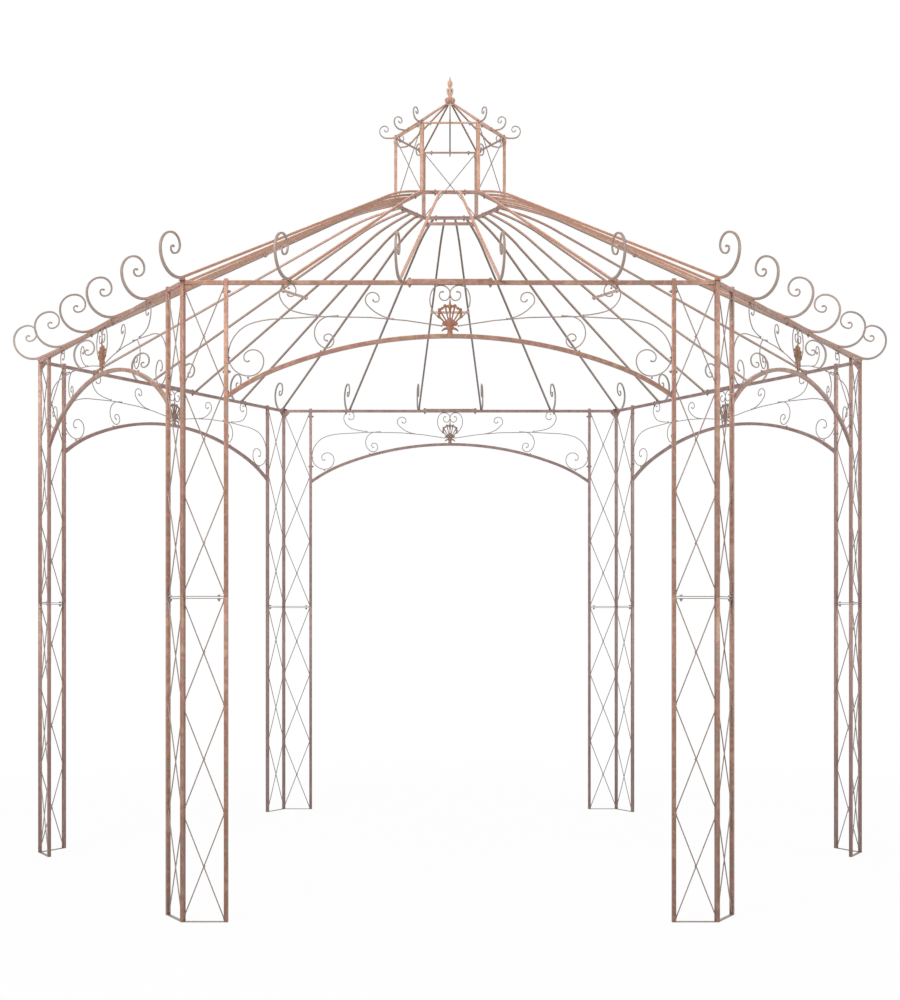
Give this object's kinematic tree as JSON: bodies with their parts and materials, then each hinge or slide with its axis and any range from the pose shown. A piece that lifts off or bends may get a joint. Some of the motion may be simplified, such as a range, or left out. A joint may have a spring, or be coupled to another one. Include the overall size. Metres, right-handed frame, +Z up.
{
  "type": "metal gazebo",
  "caption": "Open hexagonal iron gazebo: lattice posts, arched scrollwork sides, a roof of curled bar rafters and a small lantern with a leaf finial.",
  "frame": {"origin": "centre of the hexagon on the ground", "axes": "+X to the right, along the front side and through two opposite corner posts; -Y out of the front side; +Z up"},
  "size_m": [4.264, 3.7276, 3.785],
  "materials": {
    "tube_paint": "antique brown paint on square steel tube, satin, rubbed paler on the edges",
    "bar_paint": "antique copper-brown paint on square bar, satin",
    "rod_paint": "grey-brown paint on thin round rod, satin",
    "cast_paint": "copper-brown paint on small iron castings, slightly rough"
  },
  "bodies": {
    "root": {"post_1_lower": "tube_paint", "post_2_lower": "tube_paint", "post_3_lower": "tube_paint", "post_4_lower": "tube_paint", "post_5_lower": "tube_paint", "post_6_lower": "tube_paint", "post_1_upper": "tube_paint", "post_2_upper": "tube_paint", "post_3_upper": "tube_paint", "post_4_upper": "tube_paint", "post_5_upper": "tube_paint", "post_6_upper": "tube_paint", "eaves_bar_1": "tube_paint", "eaves_bar_2": "tube_paint", "eaves_bar_3": "tube_paint", "eaves_bar_4": "tube_paint", "eaves_bar_5": "tube_paint", "eaves_bar_6": "tube_paint", "arch_panel_1": "rod_paint", "arch_panel_2": "rod_paint", "arch_panel_3": "rod_paint", "arch_panel_4": "rod_paint", "arch_panel_5": "rod_paint", "arch_panel_6": "rod_paint", "roof_panel_1": "bar_paint", "roof_panel_2": "bar_paint", "roof_panel_3": "bar_paint", "roof_panel_4": "bar_paint", "roof_panel_5": "bar_paint", "roof_panel_6": "bar_paint", "hip_rafter_1": "bar_paint", "hip_rafter_2": "bar_paint", "hip_rafter_3": "bar_paint", "hip_rafter_4": "bar_paint", "hip_rafter_5": "bar_paint", "hip_rafter_6": "bar_paint", "arch_shells": "cast_paint", "roof_ring": "tube_paint", "lantern_frame": "tube_paint", "lantern_crosses": "rod_paint", "lantern_rafters": "bar_paint", "apex_hub": "cast_paint", "finial": "cast_paint"}
  },
  "joints": []
}
